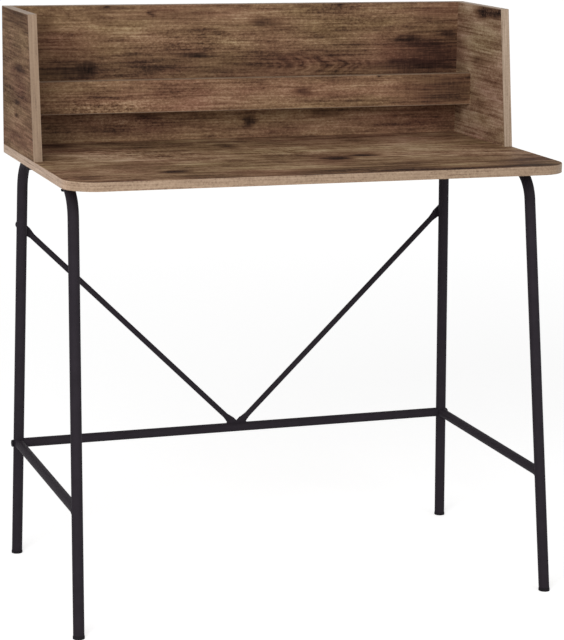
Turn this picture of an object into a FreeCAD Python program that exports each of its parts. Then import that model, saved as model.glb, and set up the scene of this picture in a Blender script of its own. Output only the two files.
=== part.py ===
import FreeCAD, Part
import os
import re
import Sketcher
from FreeCAD import Vector

# Computer desk: a board top with a low hutch, on two bent tube frames, a rear bar and a V brace.
# Millimetres and degrees. X runs to the right, Y to the back and Z up.
# The origin is on the floor, under the middle of the desk's outline.

SIZES = (
    ("desk_width", 880, "desktop, side to side"),
    ("desk_depth", 490, "desktop, front to back"),
    ("desk_height", 762, "floor to the top of the desktop"),
    ("board_thickness", 15, "desktop board"),
    ("corner_radius", 55, "rounding of the two front corners"),
    ("band_thickness", 1, "edge band glued round each board"),
    ("hutch_height", 244, "side and back panels over the desktop"),
    ("panel_thickness", 15, "side panels"),
    ("panel_foot_depth", 243, "side panel, front to back at the desktop"),
    ("panel_top_depth", 208, "side panel, front to back at its top"),
    ("back_thickness", 15, "back panel"),
    ("rail_thickness", 15, "board across the hutch"),
    ("rail_height", 58, "lower to upper edge of the rail"),
    ("rail_gap", 59, "desktop to the rail's lower edge"),
    ("rail_setback", 82, "desk's rear edge to the rail's front face"),
    ("tube_diameter", 19, "leg frame tube"),
    ("tube_wall", 1.2, "wall of the leg frame tube"),
    ("bend_radius", 55, "bends of the leg frame, at the tube's axis"),
    ("run_inset", 23, "desktop's side edge to the frame's top run"),
    ("front_knee_setback", 105, "desktop's front edge to the corner of the front bend"),
    ("front_rake", 7.1, "front leg from the vertical, foot forward"),
    ("rear_rake", 0.7, "rear leg from the vertical, foot back"),
    ("frame_lean", 1.3, "leg frame from the vertical, feet outward"),
    ("foot_rim", 5, "end of the leg tube over the floor, at its axis"),
    ("foot_diameter", 20, "rim of the foot plug"),
    ("foot_stem_length", 22, "foot plug inside the leg"),
    ("foot_chamfer", 0.8, "upper edge of the foot's rim"),
    ("bar_diameter", 17, "rear bar and side stretchers"),
    ("bar_wall", 1.2, "wall of the bar and stretchers"),
    ("bar_height", 210, "floor to the axis of the bar and stretchers"),
    ("rod_diameter", 10.3, "brace rods"),
    ("rod_flat_width", 15.5, "pressed ends of a brace rod"),
    ("rod_flat_thickness", 2.6, "pressed ends of a brace rod"),
    ("rod_flat_foot", 17, "flat at the bar, from where the rods' axes meet"),
    ("rod_flat_head", 17, "flat at the leg, from the rod to its bolt"),
    ("rod_flat_overrun", 2, "bolt to the middle of the flat's rounded end"),
    ("rod_taper", 13, "length over which a rod goes from round to flat"),
    ("rod_meeting_rise", 2, "bar's axis to where the rods' axes meet"),
    ("brace_bolt_height", 613, "floor to the brace bolts"),
    ("bolt_diameter", 6, "shank of every machine bolt"),
    ("bolt_head_diameter", 13, "truss heads on the bar and under the top run"),
    ("bolt_head_height", 3.5, "truss heads on the bar and under the top run"),
    ("brace_head_diameter", 11, "heads of the brace bolts"),
    ("brace_head_height", 3, "heads of the brace bolts"),
    ("head_bevel", 1.2, "rounding of a bolt head"),
    ("socket_width", 4, "hexagon socket across corners"),
    ("socket_depth", 1.8, "hexagon socket"),
    ("leg_insert_diameter", 9, "threaded insert in the rear leg, for the brace"),
    ("leg_insert_length", 12, "threaded insert in the rear leg, for the brace"),
    ("plug_length", 24, "threaded plug in each end of the bar"),
    ("plug_grip", 18, "bar bolt inside its plug"),
    ("insert_diameter", 10, "threaded insert in the desktop"),
    ("insert_length", 12, "threaded insert in the desktop"),
    ("insert_grip", 10, "fixing bolt inside its insert"),
    ("fixing_setback", 1.5, "end of the straight top run to the head of a fixing bolt"),
    ("screw_diameter", 5, "hutch screws, from under the desktop"),
    ("screw_length", 50, "hutch screws, head included"),
    ("screw_head_diameter", 9.5, "hutch screws"),
    ("screw_head_height", 3, "hutch screws"),
    ("screw_point", 4, "tapered end of a hutch screw"),
    ("screw_setback", 42, "end of a panel's foot to its screw"),
    ("back_screw_spread", 280, "middle of the back panel to its outer screws"),
    ("dowel_diameter", 8, "wooden dowels"),
    ("dowel_length", 30, "wooden dowels"),
    ("dowel_seat", 10, "dowel inside the desktop or the side panel"),
    ("dowel_chamfer", 0.8, "ends of a dowel"),
    ("dowel_setback", 85, "end of a panel's foot to its dowel"),
    ("cam_diameter", 15, "cam locks"),
    ("cam_depth", 12, "cam lock from its face to its floor"),
    ("cam_offset", 24, "end of the board to the cam's axis"),
    ("cam_slot_width", 1.6, "screwdriver cross in a cam"),
    ("cam_slot_length", 8, "screwdriver cross in a cam"),
    ("cam_slot_depth", 1.5, "screwdriver cross in a cam"),
    ("cam_bolt_diameter", 6, "bolt that a cam pulls"),
    ("cam_bolt_neck", 4, "neck where the cam grips its bolt"),
    ("cam_bolt_head", 3, "head past the neck, and the neck's length"),
    ("cam_bolt_seat", 11, "cam bolt inside the side panel"),
    ("back_cam_setback", 50, "back panel's lower and upper edges to its cams"),
    ("rail_cam_drop", 12, "middle of the rail down to its cam"),
    ("rail_dowel_rise", 14, "middle of the rail up to its dowel"),
    ("slip_fit", 0.15, "clearance on each side of a piece in its hole"),
    ("cope_gap", 0.2, "clearance where a tube end meets another tube"),
)

PLACES = (
    ("under_z", "desk_height - board_thickness"),
    ("run_z", "under_z - tube_diameter / 2"),
    ("run_x", "desk_width / 2 - run_inset - tube_diameter / 2"),
    ("rear_overhang", "(foot_diameter - tube_diameter) / 2 + run_z / cos(frame_lean) * tan(rear_rake)"),
    ("rear_y", "(desk_depth - rear_overhang) / 2"),
    ("front_y", "rear_y - desk_depth"),
    ("front_knee_y", "front_y + front_knee_setback"),
    ("rear_knee_y", "rear_y - tube_diameter / 2"),
    ("front_reach", "bend_radius * tan((90 - front_rake) / 2)"),
    ("rear_reach", "bend_radius * tan((90 - rear_rake) / 2)"),
    ("leg_drop", "(run_z - foot_rim) / cos(frame_lean)"),
    ("bar_drop", "(run_z - bar_height) / cos(frame_lean)"),
    ("bar_x", "run_x + bar_drop * sin(frame_lean)"),
    ("bar_y", "rear_knee_y + bar_drop * tan(rear_rake)"),
    ("stretcher_front_y", "front_knee_y - bar_drop * tan(front_rake)"),
    ("brace_drop", "(run_z - brace_bolt_height) / cos(frame_lean)"),
    ("brace_x", "run_x + brace_drop * sin(frame_lean)"),
    ("brace_y", "rear_knee_y + brace_drop * tan(rear_rake)"),
    ("lug_y", "brace_y + tube_diameter / 2 + 2 * cope_gap + rod_flat_thickness / 2"),
    ("brace_tilt", "atan((bar_y - lug_y) / (brace_bolt_height - bar_height)) / 1 deg"),
    ("brace_rise", "(brace_bolt_height - bar_height) / cos(brace_tilt) - rod_meeting_rise"),
    ("brace_angle", "atan(brace_x / brace_rise) / 1 deg"),
    ("rod_end", "brace_rise / cos(brace_angle)"),
    ("panel_x", "desk_width / 2 - panel_thickness"),
    ("hutch_top", "desk_height + hutch_height"),
    ("back_y", "rear_y - back_thickness"),
    ("rail_y", "rear_y - rail_setback"),
    ("rail_z", "desk_height + rail_gap"),
    ("panel_slope", "(panel_foot_depth - panel_top_depth) / hutch_height"),
    ("band_run", "band_thickness * sqrt(1 + panel_slope * panel_slope)"),
)

AXIS_TURNS = {
    "+X": "rotation(vector(0; 1; 0); 90)",
    "-X": "rotation(vector(0; 1; 0); -90)",
    "+Y": "rotation(vector(1; 0; 0); -90)",
    "-Y": "rotation(vector(1; 0; 0); 90)",
    "+Z": "rotation(vector(1; 0; 0); 0)",
}
SIDES = {"left": -1, "right": 1}
INWARD = {-1: "+X", 1: "-X"}
LEGS = {
    "front": ("front_knee_y - {drop} * tan(front_rake)", "-front_rake"),
    "rear": ("rear_knee_y + {drop} * tan(rear_rake)", "rear_rake"),
}

doc = FreeCAD.newDocument("computer_desk")
nodes = []
owners = {}


# Sheets and expressions

def fill_sheet(name, rows):
    """Writes one row for each alias and remembers which sheet holds it."""
    sheet = doc.addObject("Spreadsheet::Sheet", name)
    for row, (alias, content, note) in enumerate(rows, start=1):
        sheet.set(f"A{row}", alias)
        sheet.set(f"B{row}", content)
        sheet.setAlias(f"B{row}", alias)
        sheet.set(f"C{row}", note)
        owners[alias] = name
    doc.recompute()
    return sheet


def bound(expression):
    """The expression with each alias given the name of its sheet."""
    return re.sub(r"[a-z_]+", lambda m: f"{owners[m[0]]}.{m[0]}" if m[0] in owners else m[0], expression)


sizes = fill_sheet("Sizes", [(alias, str(number), note) for alias, number, note in SIZES])
for alias, _ in PLACES:
    owners[alias] = "Places"
places = fill_sheet("Places", [(alias, "=" + bound(formula), "") for alias, formula in PLACES])


def number(expression):
    """What an expression comes to now, for the first drawing of a sketch."""
    return float(places.evalExpression(bound(expression)))


def at(x, y, z, axis="+Z"):
    """Placement at a point, with the piece's own Z along the axis."""
    return f"placement(vector({x}; {y}; {z}); {AXIS_TURNS[axis]})"


def on_frame(side, y, drop, rake="0"):
    """Placement in the plane of a leaning leg frame, a drop below its top run."""
    frame = f"placement(vector({side} * run_x; 0; run_z); rotation(vector(0; 1; 0); {-side} * frame_lean))"
    return f"{frame} * placement(vector(0; {y}; -({drop})); rotation(vector(1; 0; 0); {rake}))"


def on_leg(side, leg, drop):
    """Placement on a leg's axis, with Z up the leg."""
    y, rake = LEGS[leg]
    return on_frame(side, y.format(drop=drop), drop, rake)


# Makers of shapes

def bind(obj, **expressions):
    """Ties properties of an object to the sheets."""
    for prop, expression in expressions.items():
        obj.setExpression(prop, bound(expression))
    return obj


def cylinder(diameter, length, place):
    obj = doc.addObject("Part::Cylinder", "round")
    return bind(obj, Radius=f"({diameter}) / 2", Height=length, Placement=place)


def box(length, width, height, place):
    obj = doc.addObject("Part::Box", "block")
    return bind(obj, Length=length, Width=width, Height=height, Placement=place)


def hexagon(across_corners, height, place):
    obj = doc.addObject("Part::Prism", "hexagon")
    obj.Polygon = 6
    return bind(obj, Circumradius=f"({across_corners}) / 2", Height=height, Placement=place)


def joined(parts):
    """One object from several that touch or lie apart."""
    if len(parts) == 1:
        return parts[0]
    obj = doc.addObject("Part::MultiFuse", "joined")
    obj.Shapes = parts
    return obj


def cut(base, tools):
    obj = doc.addObject("Part::Cut", "cut")
    obj.Base = base
    obj.Tool = joined(tools)
    return obj


def loft(sections):
    obj = doc.addObject("Part::Loft", "taper")
    obj.Sections = sections
    obj.Solid = True
    return obj


def group(parts):
    """Separate solids in one object."""
    obj = doc.addObject("Part::Compound", "group")
    obj.Links = parts
    return obj


def node(label, obj):
    """Names a finished sub-part."""
    obj.Label = label
    nodes.append(obj)


def sketch_on(body, role):
    """New sketch on one of the body's own origin planes."""
    sketch = body.newObject("Sketcher::SketchObject", "outline")
    plane = next(f for f in body.Origin.OriginFeatures if f.Role == role)
    sketch.AttachmentSupport = (plane, [""])
    sketch.MapMode = "FlatFace"
    return sketch


def pin_point(sketch, edge, end, x, y):
    """Ties one end of an edge to a point given by two expressions."""
    for kind, expression in (("DistanceX", x), ("DistanceY", y)):
        index = sketch.addConstraint(Sketcher.Constraint(kind, -1, 1, edge, end, number(expression)))
        sketch.setExpression(f"Constraints[{index}]", bound(expression))


def left_arc(start, end, radius):
    """Arc shorter than a half circle that turns left on its way from start to end."""
    chord = end - start
    half = chord.Length / 2
    rise = radius - (radius * radius - half * half) ** 0.5
    outward = Vector(chord.y, -chord.x, 0).normalize()
    return Part.Arc(start, (start + end) / 2 + outward * rise, end)


def draw(sketch, corners, arcs=None, closed=True):
    """Lines from corner to corner. arcs maps an edge's number to its radius and to whether it turns left."""
    arcs = arcs or {}
    points = [Vector(number(x), number(y), 0) for x, y in corners]
    count = len(points) if closed else len(points) - 1
    for i in range(count):
        start, end = points[i], points[(i + 1) % len(points)]
        if i in arcs:
            radius, turns_left = arcs[i]
            ends = (start, end) if turns_left else (end, start)
            edge = sketch.addGeometry(left_arc(*ends, number(radius)), False)
            index = sketch.addConstraint(Sketcher.Constraint("Radius", edge, number(radius)))
            sketch.setExpression(f"Constraints[{index}]", bound(radius))
            first = 1 if turns_left else 2
        else:
            edge = sketch.addGeometry(Part.LineSegment(start, end), False)
            first = 1
        pin_point(sketch, edge, first, *corners[i])
        pin_point(sketch, edge, 3 - first, *corners[(i + 1) % len(points)])


def extruded(name, role, outlines, length, place):
    """Body padded from one or more closed outlines, each a list of corners and its arcs."""
    body = doc.addObject("PartDesign::Body", name)
    sketch = sketch_on(body, role)
    for corners, arcs in outlines:
        draw(sketch, corners, arcs)
    pad = body.newObject("PartDesign::Pad", "pad")
    pad.Profile = (sketch, [""])
    bind(pad, Length=length)
    return bind(body, Placement=place)


def turned(name, outline, place):
    """Body turned about its own Z from corners given as radius and height."""
    body = doc.addObject("PartDesign::Body", name)
    sketch = sketch_on(body, "XZ_Plane")
    draw(sketch, outline)
    turn = body.newObject("PartDesign::Revolution", "turn")
    turn.Profile = (sketch, [""])
    turn.ReferenceAxis = (sketch, ["V_Axis"])
    turn.Angle = 360
    return bind(body, Placement=place)


def ring(name, outer, inner, length, place):
    """Turned sleeve, given by its two diameters."""
    return turned(name, [(f"({inner}) / 2", "0"), (f"({outer}) / 2", "0"),
                         (f"({outer}) / 2", length), (f"({inner}) / 2", length)], place)


def bolt(name, head, height, length, place):
    """Round-headed bolt with a hexagon socket. Its head bears at 0 and its shank runs up from there."""
    radius = f"({head}) / 2"
    shank = "bolt_diameter / 2"
    body = turned(name, [("0", f"-({height})"), (f"{radius} - head_bevel", f"-({height})"),
                         (radius, f"head_bevel - ({height})"), (radius, "0"), (shank, "0"),
                         (shank, length), ("0", length)], place)
    socket = hexagon("socket_width", "socket_depth", f"{place} * {at(0, 0, f'-({height})')}")
    return cut(body, [socket])


def bolt_hole(length, place):
    return cylinder("bolt_diameter + 2 * slip_fit", length, place)


# Hutch fixings: each gives its solid and the holes that hold it

def hutch_screw(x, y):
    """Screw up through the desktop into the foot of a panel."""
    place = at(x, y, "under_z")
    head, shank = "screw_head_diameter / 2", "screw_diameter / 2"
    solid = turned("hutch_screw", [("0", "0"), (head, "0"), (head, "screw_head_height"),
                                   (shank, "screw_head_height"), (shank, "screw_length - screw_point"),
                                   ("0", "screw_length")], place)
    shaft = cylinder("screw_diameter + 2 * slip_fit", "screw_length + slip_fit", place)
    seat = cylinder("screw_head_diameter + 2 * slip_fit", "screw_head_height + slip_fit", place)
    return solid, shaft, seat


def dowel(x, y, z, axis):
    """Dowel across a joint. The point is where the two boards meet."""
    place = at(x, y, z, axis)
    radius = "dowel_diameter / 2"
    solid = turned("dowel", [("0", "-dowel_seat"), (f"{radius} - dowel_chamfer", "-dowel_seat"),
                             (radius, "dowel_chamfer - dowel_seat"),
                             (radius, "dowel_length - dowel_seat - dowel_chamfer"),
                             (f"{radius} - dowel_chamfer", "dowel_length - dowel_seat"),
                             ("0", "dowel_length - dowel_seat")], place)
    hole = cylinder("dowel_diameter + 2 * slip_fit", "dowel_length + 2 * slip_fit",
                    f"{place} * {at(0, 0, '-dowel_seat - slip_fit')}")
    return solid, hole


def cam_joint(side, face_y, middle_y, z):
    """Cam in the rear face of a board, with the bolt that it pulls out of the side panel."""
    end = at(f"{side} * panel_x", middle_y, z, INWARD[side])
    shank, neck = "cam_bolt_diameter / 2", "cam_bolt_neck / 2"
    neck_start, neck_end = "cam_offset - cam_bolt_head / 2", "cam_offset + cam_bolt_head / 2"
    tip = f"{neck_end} + cam_bolt_head"
    pulled = turned("cam_bolt", [("0", "-cam_bolt_seat"), (shank, "-cam_bolt_seat"), (shank, neck_start),
                                 (neck, neck_start), (neck, neck_end), (shank, neck_end),
                                 (shank, tip), ("0", tip)], end)
    channel = cylinder("cam_bolt_diameter + 2 * slip_fit", f"cam_bolt_seat + {tip} + 2 * slip_fit",
                       f"{end} * {at(0, 0, '-cam_bolt_seat - slip_fit')}")
    cam_floor = at(f"{side} * (panel_x - cam_offset)", f"{face_y} - cam_depth", z, "+Y")
    pocket = cylinder("cam_diameter + 2 * slip_fit", "cam_depth + slip_fit",
                      f"{cam_floor} * {at(0, 0, '-slip_fit')}")
    disc = cylinder("cam_diameter", "cam_depth", cam_floor)
    slot = ("cam_slot_length", "cam_slot_width")
    cross = [box(length, width, "cam_slot_depth",
                 f"{cam_floor} * {at(f'-({length}) / 2', f'-({width}) / 2', 'cam_depth - cam_slot_depth')}")
             for length, width in (slot, slot[::-1])]
    return cut(disc, [channel, *cross]), pulled, channel, pocket


# Desktop outline, drawn in by an inset for the board inside its edge band

def desktop_outline(inset):
    side, front, rear = f"(desk_width / 2 - {inset})", f"(front_y + {inset})", f"(rear_y - {inset})"
    radius = f"(corner_radius - {inset})"
    corners = [(f"{radius} - {side}", front), (f"{side} - {radius}", front), (side, f"{front} + {radius}"),
               (side, rear), (f"-{side}", rear), (f"-{side}", f"{front} + {radius}")]
    return corners, {1: (radius, True), 5: (radius, True)}


# Hutch fixings, side by side

screws, screw_shafts, screw_seats = [], [], []
dowels, cams, cam_bolts = [], [], []
panel_holes = {"left": [], "right": []}
back_holes, rail_holes, desktop_holes = [], [], []

for side_name, side in SIDES.items():
    panel_middle = f"{side} * (desk_width - panel_thickness) / 2"
    panel_front = "(rear_y - panel_foot_depth)"
    for y in ("rear_y - screw_setback", f"{panel_front} + screw_setback"):
        solid, shaft, seat = hutch_screw(panel_middle, y)
        screws.append(solid)
        desktop_holes += [shaft, seat]
        panel_holes[side_name].append(shaft)
    for y in ("rear_y - dowel_setback", f"{panel_front} + dowel_setback"):
        solid, hole = dowel(panel_middle, y, "desk_height", "+Z")
        dowels.append(solid)
        desktop_holes.append(hole)
        panel_holes[side_name].append(hole)
    back_middle, rail_middle = "(back_y + back_thickness / 2)", "(rail_y + rail_thickness / 2)"
    rail_axis = "(rail_z + rail_height / 2)"
    board_ends = (
        ("rear_y", back_middle, ("desk_height + back_cam_setback", "hutch_top - back_cam_setback"),
         "desk_height + hutch_height / 2", back_holes),
        ("(rail_y + rail_thickness)", rail_middle, (f"{rail_axis} - rail_cam_drop",),
         f"{rail_axis} + rail_dowel_rise", rail_holes),
    )
    for face_y, middle_y, cam_heights, dowel_height, board_holes in board_ends:
        for z in cam_heights:
            cam, pulled, channel, pocket = cam_joint(side, face_y, middle_y, z)
            cams.append(cam)
            cam_bolts.append(pulled)
            board_holes += [channel, pocket]
            panel_holes[side_name].append(channel)
        solid, hole = dowel(f"{side} * panel_x", middle_y, dowel_height, INWARD[side])
        dowels.append(solid)
        board_holes.append(hole)
        panel_holes[side_name].append(hole)

for x in ("-back_screw_spread", "0", "back_screw_spread"):
    solid, shaft, seat = hutch_screw(x, "back_y + back_thickness / 2")
    screws.append(solid)
    desktop_holes += [shaft, seat]
    back_holes.append(shaft)

# Bolts that hold the leg frames to the desktop

fixing_bolts, inserts = [], []
frame_holes = {"left": [], "right": []}
head_inset = "(fixing_setback + bolt_head_diameter / 2)"
for side_name, side in SIDES.items():
    for y in (f"front_knee_y + front_reach + {head_inset}", f"rear_knee_y - rear_reach - {head_inset}"):
        seat = at(f"{side} * run_x", y, "run_z - tube_diameter / 2")
        roof = at(f"{side} * run_x", y, "under_z")
        fixing_bolts.append(bolt("fixing_bolt", "bolt_head_diameter", "bolt_head_height",
                                 "tube_diameter + insert_grip", seat))
        inserts.append(ring("threaded_insert", "insert_diameter", "bolt_diameter + 2 * slip_fit",
                            "insert_length", roof))
        frame_holes[side_name].append(bolt_hole("tube_diameter", seat))
        desktop_holes.append(cylinder("insert_diameter + 2 * slip_fit", "insert_length + slip_fit", roof))

# Bolts at the rear legs, for the bar and for the brace

bar_bolts, bar_plugs, brace_bolts, brace_inserts = [], [], [], []
lug_holes = {}
for side_name, side in SIDES.items():
    outside = at(f"{side} * (bar_x + tube_diameter / 2 + slip_fit)", "bar_y", "bar_height", INWARD[side])
    plug_end = at(f"{side} * (bar_x - tube_diameter / 2 - cope_gap)", "bar_y", "bar_height", INWARD[side])
    bar_bolts.append(bolt("bar_bolt", "bolt_head_diameter", "bolt_head_height",
                          "tube_diameter + slip_fit + cope_gap + plug_grip", outside))
    bar_plugs.append(ring("bar_plug", "bar_diameter - 2 * bar_wall - 2 * slip_fit",
                          "bolt_diameter + 2 * slip_fit", "plug_length", plug_end))
    frame_holes[side_name].append(bolt_hole("tube_diameter + 2 * slip_fit", outside))

    lug_back = "lug_y + rod_flat_thickness / 2 + slip_fit"
    head = f"{on_frame(side, lug_back, 'brace_drop')} * {at(0, 0, 0, '-Y')}"
    leg_back = f"{on_frame(side, 'brace_y + tube_diameter / 2', 'brace_drop')} * {at(0, 0, 0, '-Y')}"
    brace_bolts.append(bolt("brace_bolt", "brace_head_diameter", "brace_head_height",
                            f"{lug_back} - brace_y - tube_diameter / 2 + leg_insert_length", head))
    brace_inserts.append(ring("leg_insert", "leg_insert_diameter", "bolt_diameter + 2 * slip_fit",
                              "leg_insert_length", leg_back))
    lug_holes[side_name] = bolt_hole("tube_diameter", head)
    leg_middle = f"{on_frame(side, 'brace_y', 'brace_drop')} * {at(0, 0, 0, '+Y')}"
    frame_holes[side_name].append(cylinder("leg_insert_diameter + 2 * slip_fit", "tube_diameter", leg_middle))

# Boards and their edge bands

desktop = extruded("desktop_board", "XY_Plane", [desktop_outline("band_thickness")], "board_thickness",
                   at(0, 0, "under_z"))
node("desktop", cut(desktop, desktop_holes))
node("desktop_edge_band", extruded("desktop_band", "XY_Plane",
                                   [desktop_outline("0"), desktop_outline("band_thickness")],
                                   "board_thickness", at(0, 0, "under_z")))

outer_profile = [("rear_y", "0"), ("rear_y", "hutch_height"), ("rear_y - panel_top_depth", "hutch_height"),
                 ("rear_y - panel_foot_depth", "0")]
core_top, core_rear = "hutch_height - band_thickness", "rear_y - band_thickness"
core_front = "rear_y - panel_foot_depth + band_run"
core_profile = [(core_rear, "0"), (core_rear, core_top),
                (f"{core_front} + ({core_top}) * panel_slope", core_top), (core_front, "0")]
for side_name, side in SIDES.items():
    place = at("panel_x" if side > 0 else "-desk_width / 2", 0, "desk_height")
    panel = extruded(f"{side_name}_panel_board", "YZ_Plane", [(core_profile, None)], "panel_thickness", place)
    node(f"{side_name}_side_panel", cut(panel, panel_holes[side_name]))
    node(f"{side_name}_panel_edge_band", extruded(f"{side_name}_panel_band", "YZ_Plane",
                                                  [(outer_profile + core_profile[::-1], None)],
                                                  "panel_thickness", place))

def across(thickness, height, y, z):
    """Straight piece from one side panel to the other."""
    return box("2 * panel_x", thickness, height, at("-panel_x", y, z))


node("back_panel", cut(across("back_thickness", core_top, "back_y", "desk_height"), back_holes))
back_band = across("back_thickness", "band_thickness", "back_y", "hutch_top - band_thickness")
node("back_panel_edge_band", back_band)

rail = across("rail_thickness", "rail_height - 2 * band_thickness", "rail_y", "rail_z + band_thickness")
node("hutch_rail", cut(rail, rail_holes))
node("hutch_rail_edge_bands", group([across("rail_thickness", "band_thickness", "rail_y", z)
                                     for z in ("rail_z", "rail_z + rail_height - band_thickness")]))

# Leg frames: a ring swept from the middle of the top run down to each foot

def half_frame(body, profile, leg):
    """Adds one bend and its leg to the body of a leg frame."""
    y, rake = LEGS[leg]
    sign = "-" if leg == "front" else "+"
    back_along = "+" if leg == "front" else "-"
    corners = [("0", "0"), (f"{leg}_knee_y {back_along} {leg}_reach", "0"),
               (f"{leg}_knee_y {sign} {leg}_reach * sin({leg}_rake)", f"-{leg}_reach * cos({leg}_rake)"),
               (y.format(drop="leg_drop"), "-leg_drop")]
    path = sketch_on(body, "YZ_Plane")
    draw(path, corners, {1: ("bend_radius", leg == "front")}, closed=False)
    doc.recompute()
    pipe = body.newObject("PartDesign::AdditivePipe", f"{leg}_half")
    pipe.Profile = (profile, [""])
    pipe.Spine = (path, ["Edge1", "Edge2", "Edge3"])


for side_name, side in SIDES.items():
    tube = doc.addObject("PartDesign::Body", f"{side_name}_bent_tube")
    section = sketch_on(tube, "XZ_Plane")
    for radius in ("tube_diameter / 2", "tube_diameter / 2 - tube_wall"):
        edge = section.addGeometry(Part.Circle(Vector(0, 0, 0), Vector(0, 0, 1), number(radius)), False)
        section.addConstraint(Sketcher.Constraint("Coincident", edge, 3, -1, 1))
        index = section.addConstraint(Sketcher.Constraint("Radius", edge, number(radius)))
        section.setExpression(f"Constraints[{index}]", bound(radius))
    for leg in LEGS:
        half_frame(tube, section, leg)
    bind(tube, Placement=on_frame(side, "0", "0"))
    node(f"{side_name}_leg_frame", cut(tube, frame_holes[side_name]))

# Feet: plugs in the leg ends, with their rims cut level at the floor

floor = box("2 * desk_width", "2 * desk_depth", "2 * foot_rim",
            at("-desk_width", "-desk_depth", "-2 * foot_rim"))
stem, rim = "(tube_diameter / 2 - tube_wall - slip_fit)", "foot_diameter / 2"
foot_profile = [("0", "-2 * foot_rim"), (rim, "-2 * foot_rim"), (rim, "-foot_chamfer"),
                (f"{rim} - foot_chamfer", "0"), (stem, "0"), (stem, "foot_stem_length"),
                ("0", "foot_stem_length")]
for leg in LEGS:
    for side_name, side in SIDES.items():
        plug = turned(f"{leg}_{side_name}_plug", foot_profile, on_leg(side, leg, "leg_drop"))
        node(f"{leg}_{side_name}_foot", cut(plug, [floor]))


# Stretchers and rear bar: tubes coped to the legs that they meet

def tube_along(length, place):
    outer = cylinder("bar_diameter", length, place)
    inner = cylinder("bar_diameter - 2 * bar_wall", length, place)
    return cut(outer, [inner])


def leg_space(side, leg):
    """A leg and its clearance, where the bar and the stretchers meet it."""
    return cylinder("tube_diameter + 2 * cope_gap", "4 * bar_diameter",
                    f"{on_leg(side, leg, 'bar_drop')} * {at(0, 0, '-2 * bar_diameter')}")


stretcher_spaces = []
for side_name, side in SIDES.items():
    length = "bar_y - stretcher_front_y"
    place = at(f"{side} * bar_x", "stretcher_front_y", "bar_height", "+Y")
    node(f"{side_name}_stretcher", cut(tube_along(length, place), [leg_space(side, leg) for leg in LEGS]))
    stretcher_spaces.append(cylinder("bar_diameter + 2 * cope_gap", length, place))

bar = tube_along("2 * bar_x", at("-bar_x", "bar_y", "bar_height", "+X"))
node("rear_cross_bar", cut(bar, [leg_space(side, "rear") for side in SIDES.values()] + stretcher_spaces))


# Brace rods: round rods pressed flat on the bar and behind the leg

def flat_end(kind, height, place, **radii):
    """Outline of a rod's section, at a height along the rod."""
    outline = doc.addObject(kind, "section")
    return bind(outline, Placement=f"{place} * {at(0, 0, height)}", **radii)


def pressed(place, round_height, flat_height):
    """Stretch of a rod that goes from round to flat."""
    round_section = flat_end("Part::Circle", round_height, place, Radius="rod_diameter / 2")
    flat_section = flat_end("Part::Ellipse", flat_height, place, MajorRadius="rod_flat_width / 2",
                            MinorRadius="rod_flat_thickness / 2")
    return loft([round_section, flat_section])


def flat(place, start, length):
    """Stretch of a rod that is flat all along."""
    corner = at("-rod_flat_width / 2", "-rod_flat_thickness / 2", start)
    return box("rod_flat_width", "rod_flat_thickness", length, f"{place} * {corner}")


rear_plane = "placement(vector(0; bar_y; bar_height); rotation(vector(1; 0; 0); brace_tilt))"
round_start, round_end = "(rod_flat_foot + rod_taper)", "(rod_end - rod_flat_head - rod_taper)"
for side_name, side in SIDES.items():
    along = (f"{rear_plane} * placement(vector(0; 0; rod_meeting_rise);"
             f" rotation(vector(0; 1; 0); {side} * brace_angle))")
    rod = joined([
        flat(along, "0", "rod_flat_foot"),
        pressed(along, round_start, "rod_flat_foot"),
        cylinder("rod_diameter", f"{round_end} - {round_start}", f"{along} * {at(0, 0, round_start)}"),
        pressed(along, round_end, "rod_end - rod_flat_head"),
        flat(along, "rod_end - rod_flat_head", "rod_flat_head + rod_flat_overrun"),
        cylinder("rod_flat_width", "rod_flat_thickness",
                 f"{along} * {at(0, '-rod_flat_thickness / 2', 'rod_end + rod_flat_overrun', '+Y')}"),
    ])
    wide = "2 * rod_flat_width"
    other_side = box(wide, wide, f"2 * {wide}",
                     at(f"-{wide}" if side > 0 else 0, "bar_y - rod_flat_width", f"bar_height - {wide}"))
    bar_space = cylinder("bar_diameter + 2 * cope_gap", f"2 * {wide}",
                         at(f"-{wide}", "bar_y", "bar_height", "+X"))
    node(f"{side_name}_brace_rod", cut(rod, [other_side, bar_space, lug_holes[side_name]]))

# Fittings, each kind a group of separate solids

node("cross_bar_bolts", group(bar_bolts))
node("cross_bar_end_plugs", group(bar_plugs))
node("brace_bolts", group(brace_bolts))
node("brace_inserts", group(brace_inserts))
node("desktop_fixing_bolts", group(fixing_bolts))
node("desktop_threaded_inserts", group(inserts))
node("hutch_screws", group(screws))
node("hutch_dowels", group(dowels))
node("cam_locks", group(cams))
node("cam_bolts", group(cam_bolts))

# Check everything, then write one file for each sub-part

doc.recompute()
for obj in doc.Objects:
    if any(word in obj.State for word in ("Invalid", "Error")):
        raise RuntimeError(f"{obj.Label} did not build: {obj.State}")
for obj in nodes:
    if obj.Shape.isNull() or not obj.Shape.isValid() or not obj.Shape.Solids:
        raise RuntimeError(f"{obj.Label} has no sound shape")

os.makedirs("parts", exist_ok=True)
for obj in nodes:
    obj.Shape.exportStep(f"parts/{obj.Label}.step")
    print(f"{obj.Label}: {len(obj.Shape.Solids)} solids, {obj.Shape.Volume:.0f} mm3")
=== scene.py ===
"""Computer desk: the finishes of its boards, steel and fittings, and a plain studio round it."""

import math
from collections import namedtuple

import bpy
from mathutils import Matrix, Vector


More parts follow.
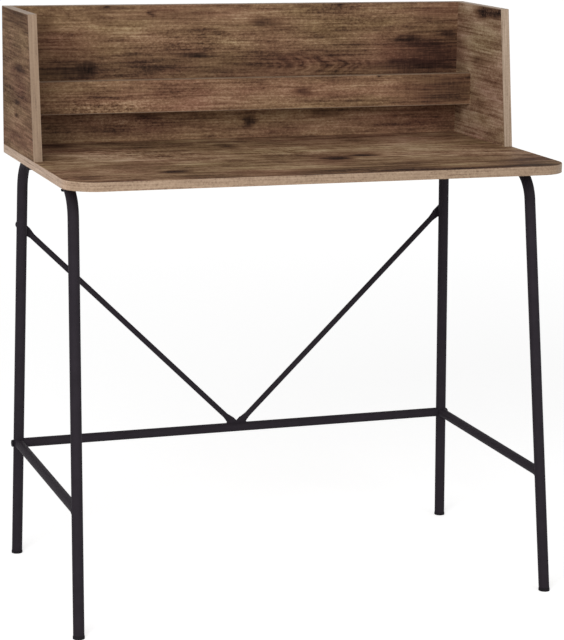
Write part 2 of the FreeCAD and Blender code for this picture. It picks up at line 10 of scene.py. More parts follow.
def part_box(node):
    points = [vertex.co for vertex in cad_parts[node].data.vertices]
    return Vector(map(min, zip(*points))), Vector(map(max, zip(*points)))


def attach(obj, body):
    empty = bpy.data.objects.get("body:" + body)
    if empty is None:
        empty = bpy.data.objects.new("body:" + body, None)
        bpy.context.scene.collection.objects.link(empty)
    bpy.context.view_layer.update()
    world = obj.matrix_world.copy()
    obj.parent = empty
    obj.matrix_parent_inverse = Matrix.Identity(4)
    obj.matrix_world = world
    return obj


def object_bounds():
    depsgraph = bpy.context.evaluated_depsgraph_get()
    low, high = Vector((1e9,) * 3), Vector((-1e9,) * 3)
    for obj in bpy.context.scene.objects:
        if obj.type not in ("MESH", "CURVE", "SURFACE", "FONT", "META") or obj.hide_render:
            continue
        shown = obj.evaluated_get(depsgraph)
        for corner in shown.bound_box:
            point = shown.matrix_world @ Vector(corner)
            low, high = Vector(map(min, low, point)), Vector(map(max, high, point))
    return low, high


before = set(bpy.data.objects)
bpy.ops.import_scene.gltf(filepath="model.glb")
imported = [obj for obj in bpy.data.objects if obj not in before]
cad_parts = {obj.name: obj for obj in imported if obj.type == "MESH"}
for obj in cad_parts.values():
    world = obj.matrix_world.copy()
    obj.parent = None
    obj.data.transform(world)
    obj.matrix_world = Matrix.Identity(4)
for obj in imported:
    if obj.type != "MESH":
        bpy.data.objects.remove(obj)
cad_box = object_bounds()

MM = 0.001
WHITE = (1.0, 1.0, 1.0, 1.0)

# A noise lies round its middle, and most of it between the low and the high value
NOISE_LOW, NOISE_MIDDLE, NOISE_HIGH = 0.3, 0.5, 0.7


def linear(red, green, blue):
    """A colour as it looks, 0 to 255 a channel, in the shader's linear numbers."""
    def channel(value):
        value /= 255
        return value / 12.92 if value <= 0.04045 else ((value + 0.055) / 1.055) ** 2.4

    return channel(red), channel(green), channel(blue), 1.0


# Sockets of a colour mix: its factor, its two colours and its result
MIX_FACTOR, MIX_FIRST, MIX_SECOND, MIX_RESULT = 0, 6, 7, 2


class Graph:
    """Short names for the shader nodes that the finishes are made of."""

    def __init__(self, tree):
        self.tree = tree

    def feed(self, socket, value):
        if isinstance(value, bpy.types.NodeSocket):
            self.tree.links.new(value, socket)
        else:
            socket.default_value = value

    def add(self, kind, inputs=(), **settings):
        made = self.tree.nodes.new(kind)
        for name, value in settings.items():
            setattr(made, name, value)
        for name, value in dict(inputs).items():
            self.feed(made.inputs[name], value)
        return made

    def math(self, operation, *values):
        return self.add("ShaderNodeMath", enumerate(values), operation=operation).outputs[0]

    def vector(self, operation, *values):
        made = self.add("ShaderNodeVectorMath", enumerate(values), operation=operation)
        return made.outputs["Value" if operation == "LENGTH" else "Vector"]

    def join(self, x, y, z):
        return self.add("ShaderNodeCombineXYZ", {"X": x, "Y": y, "Z": z}).outputs[0]

    def split(self, vector):
        return self.add("ShaderNodeSeparateXYZ", {"Vector": vector}).outputs

    def noise(self, vector, scale=1.0, detail=2.0, roughness=0.5, output="Fac"):
        inputs = {"Vector": vector, "Scale": scale, "Detail": detail, "Roughness": roughness}
        return self.add("ShaderNodeTexNoise", inputs).outputs[output]

    def spread(self, value, low, high, to_low=0.0, to_high=1.0):
        inputs = {"Value": value, "From Min": low, "From Max": high, "To Min": to_low, "To Max": to_high}
        return self.add("ShaderNodeMapRange", inputs, interpolation_type="SMOOTHSTEP").outputs[0]

    def ramp(self, value, stops):
        made = self.add("ShaderNodeValToRGB", {"Fac": value})
        points = made.color_ramp.elements
        while len(points) < len(stops):
            points.new(1.0)
        for point, (place, colour) in zip(points, stops):
            point.position, point.color = place, linear(*colour)
        return made.outputs["Color"]

    def mix(self, blend, factor, first, second):
        made = self.add("ShaderNodeMix", data_type="RGBA", blend_type=blend)
        for index, value in ((MIX_FACTOR, factor), (MIX_FIRST, first), (MIX_SECOND, second)):
            self.feed(made.inputs[index], value)
        return made.outputs[MIX_RESULT]

    def place(self):
        return self.add("ShaderNodeTexCoord").outputs["Object"]

    def bump(self, height, strength, distance):
        inputs = {"Height": height, "Strength": strength, "Distance": distance}
        return self.add("ShaderNodeBump", inputs).outputs[0]


def group_graph(name, inputs, outputs):
    """An empty node group with those sockets, as (graph, its input sockets, its output node)."""
    tree = bpy.data.node_groups.new(name, "ShaderNodeTree")
    for in_out, sockets in (("INPUT", inputs), ("OUTPUT", outputs)):
        for socket, kind in sockets:
            tree.interface.new_socket(socket, in_out=in_out, socket_type="NodeSocket" + kind)
    graph = Graph(tree)
    return graph, graph.add("NodeGroupInput").outputs, graph.add("NodeGroupOutput")


def finish_graph(name):
    """A new material, as (material, graph, its surface shader)."""
    material = bpy.data.materials.new(name)
    material.use_nodes = True
    return material, Graph(material.node_tree), material.node_tree.nodes["Principled BSDF"]


def dress(material, node_names):
    for name in node_names:
        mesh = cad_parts[name].data
        mesh.materials.clear()
        mesh.materials.append(material)


# Plank print: colours from its darkest streak to its palest, and the tints that drift over it
PRINT_COLOURS = (
    (0.0, (40, 31, 28)),
    (0.2, (75, 57, 48)),
    (0.4, (116, 90, 71)),
    (0.6, (147, 120, 95)),
    (0.8, (178, 153, 125)),
    (1.0, (206, 184, 157)),
)
TONE_SPAN = 1.25
PRINT_TINTS = (
    (0.28, (250, 250, 232)),
    (0.43, (255, 251, 241)),
    (0.57, (255, 244, 240)),
    (0.72, (250, 228, 230)),
)
BLUSH = (235, 214, 226)
DARK_TONE, DARK_ROUGHNESS = 0.2, 0.7
PALE_TONE, PALE_ROUGHNESS = 0.8, 0.58
PRINT_GLOSS = 0.02
PRINT_RELIEF = 0.15
PRINT_RELIEF_DEPTH = 0.4 * MM

# Layers of the print: waves in each metre along and across the grain, a number that keeps the layers
# apart, how much finer detail each holds, and how much it shows in the tone and breaks up the marks
Layer = namedtuple("Layer", "along across number detail roughness tone stain")
ZONES = Layer(2.6, 9.0, 11.7, 1.0, 0.5, tone=0.5, stain=0.0)
CLOUDS = Layer(9.0, 26.0, 7.3, 6.0, 0.66, tone=0.95, stain=2.2)
STREAKS = Layer(6.0, 95.0, 43.7, 3.0, 0.6, tone=0.16, stain=0.0)
LINES = Layer(9.0, 210.0, 71.9, 2.0, 0.6, tone=0.7, stain=0.0)
FINE = Layer(11.0, 290.0, 41.3, 1.0, 0.5, tone=0.6, stain=0.7)
MOTTLE = Layer(60.0, 105.0, 67.1, 3.0, 0.6, tone=0.3, stain=1.2)
SPECKLE = Layer(220.0, 330.0, 53.9, 2.0, 0.7, tone=0.52, stain=1.6)
FLECKS = Layer(110.0, 480.0, 23.3, 1.0, 0.5, tone=0.16, stain=0.0)
SAW = Layer(330.0, 60.0, 29.9, 1.0, 0.5, tone=0.0, stain=0.9)
TINT = Layer(4.0, 17.0, 31.3, 3.0, 0.6, tone=0.0, stain=0.0)
BROAD_SPECKLE = 0.55
FLECK_START, FLECK_FULL = 0.1, 0.26
STAIN_BASE = 0.95
STAIN_LEAST = 0.15


def plank_group():
    """The printed planks. Grain and Broad are a board's point, in metres along and across the grain, with
    the number of its sheet. Broad is the one that the larger layers use, and may be stretched."""
    inputs = [("Grain", "Vector"), ("Broad", "Vector"), ("Marks", "Float"), ("Tone", "Float"),
              ("Mottle", "Float")]
    outputs = [("Color", "Color"), ("Roughness", "Float"), ("Height", "Float")]
    graph, given, out = group_graph("plank_print", inputs, outputs)

    def wave(layer, space="Grain"):
        point = graph.vector("MULTIPLY", given[space], (layer.along, layer.across, 1.0))
        point = graph.vector("ADD", point, (0.0, 0.0, layer.number))
        return graph.math("SUBTRACT", graph.noise(point, 1.0, layer.detail, layer.roughness), NOISE_MIDDLE)

    def broad(layer):
        return graph.math("MULTIPLY", wave(layer, "Broad"), given["Mottle"])

    fine = wave(FINE)
    layers = (
        (ZONES, wave(ZONES, "Broad")),
        (CLOUDS, broad(CLOUDS)),
        (STREAKS, broad(STREAKS)),
        (LINES, broad(LINES)),
        (FINE, fine),
        (MOTTLE, broad(MOTTLE)),
        (SPECKLE, graph.math("MULTIPLY_ADD", broad(SPECKLE), BROAD_SPECKLE, wave(SPECKLE))),
        (FLECKS, graph.spread(wave(FLECKS), FLECK_START, FLECK_FULL)),
        (SAW, wave(SAW)),
    )
    tone, breakup = given["Tone"], STAIN_BASE
    for layer, value in layers:
        if layer.tone:
            tone = graph.math("MULTIPLY_ADD", value, layer.tone, tone)
        if layer.stain:
            breakup = graph.math("MULTIPLY_ADD", value, layer.stain, breakup)
    stain = graph.math("MULTIPLY", given["Marks"], graph.math("MAXIMUM", breakup, STAIN_LEAST))
    tone = graph.math("SUBTRACT", tone, stain)

    colour = graph.ramp(graph.math("DIVIDE", tone, TONE_SPAN), PRINT_COLOURS)
    tint = graph.ramp(graph.math("ADD", wave(TINT, "Broad"), NOISE_MIDDLE), PRINT_TINTS)
    roughness = graph.spread(tone, DARK_TONE, PALE_TONE, DARK_ROUGHNESS, PALE_ROUGHNESS)
    graph.feed(out.inputs["Color"], graph.mix("MULTIPLY", 1.0, colour, tint))
    graph.feed(out.inputs["Roughness"], roughness)
    graph.feed(out.inputs["Height"], fine)
    return graph.tree


# Marks: knots, smudges, pale patches and some painted shade, with their places and half sizes on a board in
# mm.
# Depth is how far a mark darkens the print, or lightens it where it is below 0. For a blush it is the
# strength of the tint, and for a swirl that of the arcs. A seam between planks has the step in tone above it
Mark = namedtuple("Mark", "along across half_length half_width depth")
Seam = namedtuple("Seam", "across step")
MARK_CORE = 0.05
MARK_GRAIN = (22.0, 75.0, 1.0)
MARK_DETAIL = 4.0
MARK_ROUGHNESS = 0.65
MARK_WOBBLE = (50 * MM, 16 * MM, 0.0)
SEAM_HALF = 1.2 * MM
SEAM_DEPTH = 0.16

# Nested arcs of a swirl: how far they open along the grain, how round their tip is, how far noise
# ripples them, how close they lie, and how often they break off along the grain
ARC_SLOPE = 0.45
ARC_TIP = 7 * MM
ARC_RIPPLE = 20 * MM
ARCS_PER_METRE = 190.0
ARC_BREAKS_PER_METRE = 9.0


def mark_group():
    """One mark: full at its centre, gone at its reach."""
    inputs = [("Point", "Vector"), ("Centre", "Vector"), ("Reach", "Vector"), ("Depth", "Float")]
    graph, given, out = group_graph("print_mark", inputs, [("Value", "Float")])
    offset = graph.vector("SUBTRACT", given["Point"], given["Centre"])
    distance = graph.vector("LENGTH", graph.vector("DIVIDE", offset, given["Reach"]))
    inside = graph.spread(distance, 1.0, MARK_CORE)
    graph.feed(out.inputs["Value"], graph.math("MULTIPLY", inside, given["Depth"]))
    return graph.tree


# A board's print: the axes along and across its grain and through it, the face that carries its marks
# (-1 the low side of the through axis, 1 the high side), and a sheet number that sets its print apart.
# Tone is its shade and tint a colour laid over it. Mottle is the strength of the larger layers, and
# stretch scales their waves along and across the grain
Board = namedtuple(
    "Board",
    "node along across through marked_face sheet tone mottle marks stretch tint seams swirls blushes",
    defaults=((1.0, 1.0), (255, 255, 255), (), (), ()))
SHEET_STEP = 180.0
DESKTOP = Board(
    "desktop", "X", "Y", "Z", 1, sheet=4.0, tone=0.67, mottle=1.8, stretch=(0.7, 0.4),
    seams=(Seam(-96, 0.03), Seam(72, -0.05)),
    blushes=(
        Mark(-80, -200, 130, 60, 0.8),
        Mark(60, -60, 60, 120, 0.5),
        Mark(300, 150, 120, 100, 0.5),
    ),
    marks=(
        # Painted shadow of the left side panel on the desktop's left rear corner
        Mark(-358, 189, 60, 50, 0.4),
        Mark(-270, 50, 160, 110, -0.4),
        Mark(-241, -166, 46, 24, 0.7),
        Mark(-392, -209, 26, 18, 0.3),
        Mark(-165, -20, 90, 100, -0.2),
        Mark(-63, 121, 30, 44, 0.6),
        Mark(25, 15, 95, 80, -0.34),
        Mark(40, -90, 50, 90, 0.14),
        Mark(78, -71, 46, 30, 0.85),
        Mark(139, -46, 46, 24, 0.75),
        Mark(74, -140, 60, 50, 0.16),
        Mark(230, 0, 110, 110, -0.06),
        Mark(80, -222, 230, 68, 0.55),
        Mark(230, -140, 130, 60, 0.12),
        Mark(380, -190, 110, 60, 0.2),
        Mark(310, -238, 250, 34, 0.45),
        Mark(345, -60, 100, 70, -0.24),
    ))
BACK_PANEL = Board(
    "back_panel", "X", "Z", "Y", -1, sheet=19.0, tone=0.6, mottle=1.05,
    # The step: the upper plank is paler, partly by its own tone and partly as painted shade on the lower
    # plank near the rail
    seams=(Seam(929, 0.05),),
    swirls=(Mark(150, 893, 200, 32, 1.2),),
    blushes=(
        Mark(-330, 935, 130, 60, 0.7),
        Mark(140, 896, 240, 34, 0.7),
        Mark(375, 905, 140, 70, 0.7),
        Mark(-200, 800, 200, 40, 0.4),
        Mark(330, 790, 160, 40, 0.6),
    ),
    marks=(
        Mark(-366, 973, 36, 30, 0.22),
        Mark(-252, 1003, 9, 4, 0.6),
        Mark(-170, 991, 13, 7, 0.4),
        Mark(-150, 990, 240, 26, 0.14),
        Mark(200, 985, 160, 40, -0.06),
        Mark(390, 985, 90, 26, 0.16),
        Mark(-60, 940, 300, 22, -0.12),
        Mark(40, 973, 48, 13, 0.4),
        Mark(190, 1002, 13, 6, 0.6),
        Mark(325, 939, 34, 11, 0.36),
        Mark(402, 949, 36, 12, 0.34),
        Mark(-350, 930, 80, 22, 0.12),
        Mark(-95, 914, 52, 9, 0.34),
        # Painted shade along the whole back panel just above the rail
        Mark(0, 896, 420, 34, 0.1),
        Mark(150, 893, 180, 32, 0.12),
        # Painted shade in the left corner just above the rail, beside the left panel
        Mark(-330, 890, 110, 24, 0.3),
        Mark(-290, 892, 26, 22, 0.3),
        Mark(370, 905, 130, 70, 0.24),
        Mark(320, 884, 130, 20, 0.24),
        Mark(-330, 798, 75, 24, 0.04),
        Mark(-220, 800, 140, 16, -0.2),
        Mark(15, 793, 20, 18, 0.45),
        Mark(157, 803, 45, 12, 0.4),
        Mark(-175, 806, 60, 12, 0.3),
        Mark(60, 782, 380, 24, 0.05),
    ))
HUTCH_RAIL = Board(
    "hutch_rail", "X", "Z", "Y", -1, sheet=33.0, tone=0.63, mottle=1.0,
    blushes=(Mark(-90, 850, 140, 50, 0.3),),
    marks=(
        Mark(-270, 830, 140, 24, -0.32),
        Mark(95, 852, 26, 12, 0.42),
        Mark(247, 878, 10, 6, 0.6),
        Mark(60, 858, 300, 40, -0.02),
        # The rail's dark right end: partly its print, partly painted shade where it meets the right panel
        Mark(365, 852, 110, 60, 0.3),
    ))
LEFT_SIDE_PANEL = Board(
    "left_side_panel", "Y", "Z", "X", -1, sheet=47.0, tone=0.55, mottle=1.0,
    seams=(Seam(916, 0.04),),
    marks=(
        Mark(120, 998, 190, 30, 0.32),
        Mark(100, 908, 80, 12, 0.25),
        Mark(118, 851, 46, 8, 0.4),
        Mark(128, 825, 34, 7, 0.45),
        Mark(40, 821, 60, 9, 0.2),
    ))
# Its tone is set paler than the other boards' as painted light on the right panel's inner face
RIGHT_SIDE_PANEL = Board(
    "right_side_panel", "Y", "Z", "X", -1, sheet=61.0, tone=0.94, mottle=1.3, tint=(246, 246, 254),
    seams=(Seam(916, -0.04),),
    blushes=(Mark(60, 840, 140, 70, 0.5),),
    marks=(
        Mark(108, 995, 56, 20, 0.85),
        Mark(50, 998, 50, 15, 0.75),
        Mark(125, 906, 60, 14, 0.5),
        # Painted shade down the panel's rear edge, in the corner with the back panel
        Mark(215, 890, 50, 160, 0.2),
    ))
BOARDS = (DESKTOP, BACK_PANEL, HUTCH_RAIL, LEFT_SIDE_PANEL, RIGHT_SIDE_PANEL)


def board_finish(board, mark_tree, plank_tree):
    """Plank-print laminate on one board."""
    material, graph, shader = finish_graph(board.node + "_laminate")
    place = graph.split(graph.place())
    along, across, through = (place[axis] for axis in (board.along, board.across, board.through))
    low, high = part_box(board.node)
    axis = "XYZ".index(board.through)
    middle = (low[axis] + high[axis]) / 2
    faced = graph.math("GREATER_THAN" if board.marked_face > 0 else "LESS_THAN", through, middle)

    point = graph.join(along, across, 0.0)
    loose = graph.vector("MULTIPLY", point, MARK_GRAIN)
    wobble = graph.noise(loose, 1.0, MARK_DETAIL, MARK_ROUGHNESS, "Color")
    shift = graph.vector("SUBTRACT", wobble, (NOISE_MIDDLE, NOISE_MIDDLE, NOISE_MIDDLE))
    point = graph.vector("ADD", point, graph.vector("MULTIPLY", shift, MARK_WOBBLE))

    def placed(listed):
        """Sum of the marks listed, on the face that carries them."""
        total = 0.0
        for mark in listed:
            spot = graph.add("ShaderNodeGroup", node_tree=mark_tree)
            graph.feed(spot.inputs["Point"], point)
            spot.inputs["Centre"].default_value = (mark.along * MM, mark.across * MM, 0.0)
            spot.inputs["Reach"].default_value = (mark.half_length * MM, mark.half_width * MM, 1.0)
            spot.inputs["Depth"].default_value = mark.depth
            total = graph.math("ADD", spot.outputs["Value"], total)
        return graph.math("MULTIPLY", total, faced) if listed else total

    tone = board.tone
    for seam in board.seams:
        above = graph.math("GREATER_THAN", across, seam.across * MM)
        tone = graph.math("MULTIPLY_ADD", above, seam.step, tone)
        gap = graph.math("ABSOLUTE", graph.math("SUBTRACT", across, seam.across * MM))
        tone = graph.math("MULTIPLY_ADD", graph.spread(gap, SEAM_HALF, 0.0), -SEAM_DEPTH, tone)
    for swirl in board.swirls:
        rise = graph.math("SUBTRACT", across, swirl.across * MM)
        arm = graph.vector("LENGTH", graph.join(rise, ARC_TIP, 0.0))
        arc = graph.math("MULTIPLY_ADD", along, ARC_SLOPE, arm)
        arc = graph.math("MULTIPLY_ADD", graph.split(shift)["Y"], ARC_RIPPLE, arc)
        arc_point = graph.join(graph.math("MULTIPLY", arc, ARCS_PER_METRE),
                               graph.math("MULTIPLY", along, ARC_BREAKS_PER_METRE), 0.0)
        arcs = graph.math("SUBTRACT", graph.noise(arc_point, 1.0, 1.0), NOISE_MIDDLE)
        tone = graph.math("MULTIPLY_ADD", arcs, placed((swirl,)), tone)

    sheet = graph.math("MULTIPLY_ADD", through, SHEET_STEP, board.sheet)
    grain = graph.join(along, across, sheet)
    printed = graph.add("ShaderNodeGroup", node_tree=plank_tree)
    graph.feed(printed.inputs["Grain"], grain)
    graph.feed(printed.inputs["Broad"], graph.vector("MULTIPLY", grain, (*board.stretch, 1.0)))
    graph.feed(printed.inputs["Marks"], placed(board.marks))
    graph.feed(printed.inputs["Tone"], tone)
    graph.feed(printed.inputs["Mottle"], board.mottle)
    colour = graph.mix("MULTIPLY", placed(board.blushes), printed.outputs["Color"], linear(*BLUSH))
    relief = graph.bump(printed.outputs["Height"], PRINT_RELIEF, PRINT_RELIEF_DEPTH)
    graph.feed(shader.inputs["Base Color"], graph.mix("MULTIPLY", 1.0, colour, linear(*board.tint)))
    graph.feed(shader.inputs["Roughness"], printed.outputs["Roughness"])
    graph.feed(shader.inputs["Normal"], relief)
    shader.inputs["Specular IOR Level"].default_value = PRINT_GLOSS
    dress(material, [board.node])


# Edge bands: the axis across the band, how strong its flecks are, and its colours from dark to pale.
# Painted light makes the desktop's band paler on its left run, and a little paler towards it along the
# front. On the left run it starts to show at one distance from the desk's left end and is full at the other
Band = namedtuple("Band", "name nodes across fleck_share colours left_colours", defaults=(None,))
BANDS = (
    Band("desktop_band", ("desktop_edge_band",), "Z", 0.68,
         ((111, 86, 65), (149, 123, 99), (164, 138, 113), (180, 154, 128)),
         ((139, 109, 86), (185, 154, 129), (203, 172, 146), (220, 190, 163))),
    # The left panel's band: darker than the right panel's band, as painted shade
    Band("left_panel_band_painted_shade", ("left_panel_edge_band",), "X", 0.36,
         ((120, 97, 77), (143, 118, 95), (153, 128, 104), (163, 138, 114))),
    Band("right_panel_band", ("right_panel_edge_band",), "X", 0.36,
         ((122, 100, 80), (162, 139, 117), (178, 155, 133), (192, 170, 148))),
    Band("hutch_band", ("back_panel_edge_band", "hutch_rail_edge_bands"), "Y", 0.36,
         ((92, 70, 52), (122, 98, 77), (138, 113, 91), (152, 128, 105))),
)
BAND_STOPS = (0.25, 0.42, 0.6, 0.8)
BAND_GRAIN_ALONG = 12.0
BAND_GRAIN_ACROSS = 420.0
BAND_DETAIL = 4.0
BAND_GRAIN_ROUGHNESS = 0.6
BAND_FLECKS = 330.0
BAND_DARK_ROUGHNESS, BAND_PALE_ROUGHNESS = 0.6, 0.5
BAND_RELIEF = 0.2
BAND_RELIEF_DEPTH = 0.3 * MM
LEFT_RUN_START, LEFT_RUN_FULL = 15 * MM, 0.5 * MM
DRIFT_START, DRIFT_END = 300 * MM, -200 * MM
DRIFT_SHARE = 0.16


def band_finish(band):
    """Pale wood-print edge band, its grain along the edge."""
    material, graph, shader = finish_graph(band.name)
    place = graph.place()
    waves = [BAND_GRAIN_ACROSS if axis == band.across else BAND_GRAIN_ALONG for axis in "XYZ"]
    grain = graph.noise(graph.vector("MULTIPLY", place, waves), 1.0, BAND_DETAIL, BAND_GRAIN_ROUGHNESS)
    flecks = graph.math("SUBTRACT", graph.noise(place, BAND_FLECKS), NOISE_MIDDLE)
    tone = graph.math("MULTIPLY_ADD", flecks, band.fleck_share, grain)
    colour = graph.ramp(tone, list(zip(BAND_STOPS, band.colours)))
    # Painted light: paler colours on the band's left run, and a little towards it along the front
    if band.left_colours:
        x = graph.split(place)["X"]
        left_end = cad_box[0][0]
        painted_light_left_run = graph.spread(x, left_end + LEFT_RUN_START, left_end + LEFT_RUN_FULL)
        drift = graph.spread(x, DRIFT_START, DRIFT_END, 0.0, DRIFT_SHARE)
        paler = graph.ramp(tone, list(zip(BAND_STOPS, band.left_colours)))
        colour = graph.mix("MIX", graph.math("MAXIMUM", painted_light_left_run, drift), colour, paler)
    roughness = graph.spread(grain, NOISE_LOW, NOISE_HIGH, BAND_DARK_ROUGHNESS, BAND_PALE_ROUGHNESS)
    graph.feed(shader.inputs["Base Color"], colour)
    graph.feed(shader.inputs["Roughness"], roughness)
    graph.feed(shader.inputs["Normal"], graph.bump(grain, BAND_RELIEF, BAND_RELIEF_DEPTH))
    dress(material, band.nodes)


# Coatings, platings and plastic: two close colours, and the grain's waves in each metre and its relief
Coating = namedtuple("Coating", "name dark light roughness metallic grain relief nodes")
POWDER_COAT = Coating(
    "black_powder_coat", (43, 39, 44), (53, 48, 54), 0.55, 0.0, 1800.0, 0.03,
    ("left_leg_frame", "right_leg_frame", "left_stretcher", "right_stretcher",
     "rear_cross_bar", "left_brace_rod", "right_brace_rod"))
FITTING_COATINGS = (
    Coating("black_bolt", (28, 26, 29), (40, 37, 41), 0.5, 0.0, 1200.0, 0.03,
            ("cross_bar_bolts", "brace_bolts", "desktop_fixing_bolts")),
    Coating("black_plastic", (33, 31, 33), (45, 42, 46), 0.55, 0.0, 900.0, 0.15,
            ("front_left_foot", "front_right_foot", "rear_left_foot", "rear_right_foot")),
    Coating("zinc_plate", (158, 160, 162), (190, 192, 194), 0.35, 1.0, 700.0, 0.05,
            ("cross_bar_end_plugs", "brace_inserts", "desktop_threaded_inserts",
             "hutch_screws", "cam_bolts")),
    Coating("cast_zinc", (140, 141, 144), (172, 173, 176), 0.5, 1.0, 500.0, 0.2, ("cam_locks",)),
)
COATING_DETAIL = 2.0
COATING_GRAIN_ROUGHNESS = 0.6
GRAINS_PER_CLOUD = 40
GRAIN_SHARE, CLOUD_SHARE = 0.7, 0.3
COATING_DARK_STOP, COATING_LIGHT_STOP = 0.35, 0.65
COATING_ROUGHNESS_SWING = 0.06
COATING_GLOSS = 0.03
COATING_RELIEF_DEPTH = 0.3 * MM


def coating_finish(coating):
    """A fine-grained coating, plastic or plated metal, with its grain in colour, roughness and relief."""
    material, graph, shader = finish_graph(coating.name)
    place = graph.place()
    grain = graph.noise(place, coating.grain, COATING_DETAIL, COATING_GRAIN_ROUGHNESS)
    cloud = graph.noise(place, coating.grain / GRAINS_PER_CLOUD, COATING_DETAIL)
    tone = graph.math("MULTIPLY_ADD", grain, GRAIN_SHARE, graph.math("MULTIPLY", cloud, CLOUD_SHARE))
    colours = ((COATING_DARK_STOP, coating.dark), (COATING_LIGHT_STOP, coating.light))
    roughness = graph.spread(grain, NOISE_LOW, NOISE_HIGH, coating.roughness - COATING_ROUGHNESS_SWING,
                             coating.roughness + COATING_ROUGHNESS_SWING)
    graph.feed(shader.inputs["Base Color"], graph.ramp(tone, colours))
    graph.feed(shader.inputs["Roughness"], roughness)
    graph.feed(shader.inputs["Normal"], graph.bump(grain, coating.relief, COATING_RELIEF_DEPTH))
    shader.inputs["Metallic"].default_value = coating.metallic
    shader.inputs["Specular IOR Level"].default_value = COATING_GLOSS
    dress(material, coating.nodes)
    return material


DOWEL_GRAIN = (260.0, 260.0, 40.0)
DOWEL_DETAIL = 3.0
DOWEL_COLOURS = ((0.3, (176, 138, 96)), (0.7, (214, 182, 140)))
DOWEL_DARK_ROUGHNESS, DOWEL_PALE_ROUGHNESS = 0.65, 0.55


def dowel_finish():
    """Bare beech."""
    material, graph, shader = finish_graph("dowel_beech")
    grain = graph.noise(graph.vector("MULTIPLY", graph.place(), DOWEL_GRAIN), 1.0, DOWEL_DETAIL)
    roughness = graph.spread(grain, NOISE_LOW, NOISE_HIGH, DOWEL_DARK_ROUGHNESS, DOWEL_PALE_ROUGHNESS)
    graph.feed(shader.inputs["Base Color"], graph.ramp(grain, DOWEL_COLOURS))
    graph.feed(shader.inputs["Roughness"], roughness)
    dress(material, ["hutch_dowels"])


# Weld beads round each end of the stretchers and round the brace's foot, rippled like scales of metal
BEAD_RADIUS = 1.6 * MM
BEAD_SCALE = 2.4 * MM
BEAD_RIPPLE = 0.22
BEAD_RINGS_PER_SCALE = 6
BEAD_SIDES = 10
RIM_SLACK = 0.02 * MM
FOOT_RISE = 1.5 * MM


def stretcher_rim(node, end):
    """Outer rim of a stretcher's coped end, -1 the front one and 1 the rear one, in order round the tube."""
    low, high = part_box(node)
    middle = (Vector(low) + Vector(high)) / 2
    radius = (high[0] - low[0]) / 2
    rim = {}
    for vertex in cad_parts[node].data.vertices:
        offset = vertex.co - middle
        if offset.y * end > 0 and abs(math.hypot(offset.x, offset.z) - radius) < RIM_SLACK:
            rim[math.atan2(offset.z, offset.x)] = vertex.co.copy()
    return [rim[angle] for angle in sorted(rim)]


def brace_foot():
    """Outline of the rods' flat ends where they stand on the bar."""
    low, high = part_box("rear_cross_bar")
    middle = (Vector(low) + Vector(high)) / 2
    radius = (high[2] - low[2]) / 2
    standing = [vertex.co for rod in ("left_brace_rod", "right_brace_rod")
                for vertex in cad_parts[rod].data.vertices
                if vertex.co.z < middle.z + radius + FOOT_RISE]
    left, right = min(point.x for point in standing), max(point.x for point in standing)
    front, rear = min(point.y for point in standing), max(point.y for point in standing)
    corners = ((left, front), (right, front), (right, rear), (left, rear))
    return [Vector((x, y, middle.z + math.sqrt(radius ** 2 - (y - middle.y) ** 2))) for x, y in corners]


def spaced(path, step):
    """Points at even steps along a closed path."""
    legs = [(start, end - start) for start, end in zip(path, path[1:] + path[:1])]
    total = sum(leg.length for _, leg in legs)
    count = round(total / step)
    points, passed = [], 0.0
    for start, leg in legs:
        while len(points) * total / count < passed + leg.length - RIM_SLACK and len(points) < count:
            points.append(start + leg * ((len(points) * total / count - passed) / leg.length))
        passed += leg.length
    return points


def weld(name, path, material):
    """One bead along a closed path: rings of points whose radius swells once in each scale."""
    points = spaced(path, BEAD_SCALE / BEAD_RINGS_PER_SCALE)
    centre = sum(points, Vector()) / len(points)
    vertices, faces = [], []
    for index, point in enumerate(points):
        tangent = (points[(index + 1) % len(points)] - points[index - 1]).normalized()
        outward = point - centre
        outward = (outward - tangent * outward.dot(tangent)).normalized()
        sideways = tangent.cross(outward)
        swell = abs(math.sin(math.pi * index / BEAD_RINGS_PER_SCALE))
        radius = BEAD_RADIUS * (1 - BEAD_RIPPLE + BEAD_RIPPLE * swell)
        ring, next_ring = index * BEAD_SIDES, (index + 1) % len(points) * BEAD_SIDES
        for side in range(BEAD_SIDES):
            turn = 2 * math.pi * side / BEAD_SIDES
            vertices.append(point + (outward * math.cos(turn) + sideways * math.sin(turn)) * radius)
            next_side = (side + 1) % BEAD_SIDES
            faces.append((ring + side, ring + next_side, next_ring + next_side, next_ring + side))
    mesh = bpy.data.meshes.new(name)
    mesh.from_pydata(vertices, [], faces)
    mesh.polygons.foreach_set("use_smooth", [True] * len(faces))
    mesh.materials.append(material)
    made = bpy.data.objects.new(name, mesh)
    bpy.context.scene.collection.objects.link(made)
    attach(made, "root")


def welds(material):
    for node in ("left_stretcher", "right_stretcher"):
        for end_name, end in (("front", -1), ("rear", 1)):
            weld(f"{node}_{end_name}_weld", stretcher_rim(node, end), material)
    weld("brace_foot_weld", brace_foot(), material)


def finishes():
    mark_tree, plank_tree = mark_group(), plank_group()
    for board in BOARDS:
        board_finish(board, mark_tree, plank_tree)
    for band in BANDS:
        band_finish(band)
    welds(coating_finish(POWDER_COAT))
    for coating in FITTING_COATINGS:
        coating_finish(coating)
    dowel_finish()


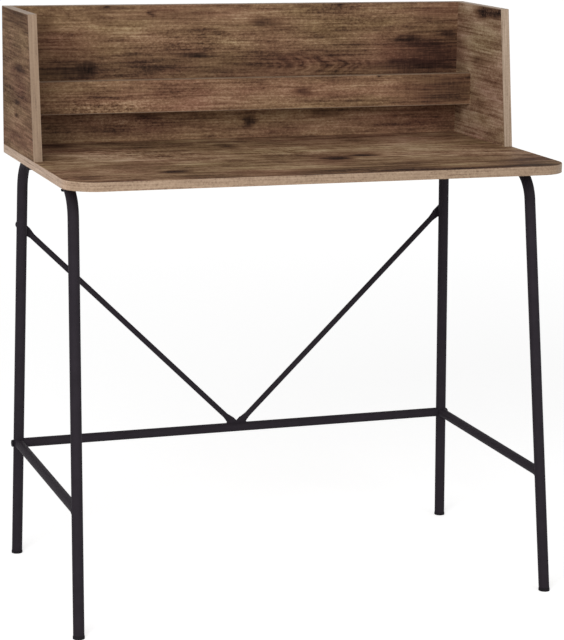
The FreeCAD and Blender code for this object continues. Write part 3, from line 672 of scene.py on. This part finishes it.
# Studio: a pale floor that brightens with distance, white surroundings and two soft lamps, in metres
# and watts
FLOOR_HALF = 40.0
FLOOR_COLOUR = (0.8, 0.8, 0.8, 1.0)
FLOOR_NEAR, FLOOR_LIFT_NEAR = 1.0, 0.62
FLOOR_FAR, FLOOR_LIFT_FAR = 6.0, 0.75
AMBIENT = 0.36
SEEN_WHITE = 1.0
SoftBox = namedtuple("SoftBox", "name place aim size power")
SOFT_BOXES = (
    SoftBox("key_light", (-2.2, -2.9, 2.2), (0.0, 0.0, 0.8), 2.6, 78.0),
    SoftBox("fill_light", (1.4, -3.3, 1.5), (0.0, 0.0, 0.7), 2.2, 22.0),
)


def seen_ray(graph):
    """1 for rays that show the surroundings: straight to the camera, mirrored or through glass."""
    path = graph.add("ShaderNodeLightPath").outputs
    mirrored = graph.math("MAXIMUM", path["Is Glossy Ray"], path["Is Transmission Ray"])
    return graph.math("MAXIMUM", path["Is Camera Ray"], mirrored)


def floor():
    """Pale floor, clear from below."""
    mesh = bpy.data.meshes.new("floor")
    corners = [(x * FLOOR_HALF, y * FLOOR_HALF, 0.0) for x, y in ((-1, -1), (1, -1), (1, 1), (-1, 1))]
    mesh.from_pydata(corners, [], [(0, 1, 2, 3)])
    made = bpy.data.objects.new("floor", mesh)
    bpy.context.scene.collection.objects.link(made)
    material, graph, shader = finish_graph("pale_floor")
    shader.inputs["Base Color"].default_value = FLOOR_COLOUR
    shader.inputs["Roughness"].default_value = 1.0
    shader.inputs["Specular IOR Level"].default_value = 0.0
    shader.inputs["Emission Color"].default_value = WHITE
    distance = graph.vector("LENGTH", graph.place())
    lift = graph.spread(distance, FLOOR_NEAR, FLOOR_FAR, FLOOR_LIFT_NEAR, FLOOR_LIFT_FAR)
    graph.feed(shader.inputs["Emission Strength"], graph.math("MULTIPLY", seen_ray(graph), lift))
    below = graph.add("ShaderNodeNewGeometry").outputs["Backfacing"]
    clear = graph.add("ShaderNodeBsdfTransparent").outputs[0]
    surface = graph.add("ShaderNodeMixShader", {0: below, 1: shader.outputs[0], 2: clear}).outputs[0]
    graph.feed(material.node_tree.nodes["Material Output"].inputs["Surface"], surface)
    mesh.materials.append(material)


def surroundings():
    world = bpy.data.worlds.new("studio")
    world.use_nodes = True
    graph = Graph(world.node_tree)
    background = world.node_tree.nodes["Background"]
    background.inputs["Color"].default_value = WHITE
    strength = graph.spread(seen_ray(graph), 0.0, 1.0, AMBIENT, SEEN_WHITE)
    graph.feed(background.inputs["Strength"], strength)
    bpy.context.scene.world = world


def soft_box(box):
    light = bpy.data.lights.new(box.name, "AREA")
    light.shape, light.size, light.energy = "DISK", box.size, box.power
    made = bpy.data.objects.new(box.name, light)
    bpy.context.scene.collection.objects.link(made)
    towards = Vector(box.aim) - Vector(box.place)
    made.location = box.place
    made.rotation_euler = towards.to_track_quat("-Z", "Y").to_euler()


# Camera: where it stands, in metres, how it is turned, in degrees, and its lens, in mm
CAMERA_PLACE = (-1.2523, -3.6227, 1.2882)
CAMERA_YAW = 19.153
CAMERA_PITCH = -12.107
CAMERA_ROLL = 0.824
CAMERA_LENS = 124.49
CAMERA_SIGHT = 4 * FLOOR_HALF


def camera():
    data = bpy.data.cameras.new("camera")
    data.lens, data.clip_end = CAMERA_LENS, CAMERA_SIGHT
    made = bpy.data.objects.new("camera", data)
    bpy.context.scene.collection.objects.link(made)
    turn = (Matrix.Rotation(math.radians(-CAMERA_YAW), 4, "Z")
            @ Matrix.Rotation(math.radians(90 + CAMERA_PITCH), 4, "X")
            @ Matrix.Rotation(math.radians(CAMERA_ROLL), 4, "Z"))
    made.matrix_world = Matrix.Translation(CAMERA_PLACE) @ turn
    bpy.context.scene.camera = made


finishes()
floor()
surroundings()
for box in SOFT_BOXES:
    soft_box(box)
camera()
bpy.context.scene.view_settings.view_transform = "Standard"
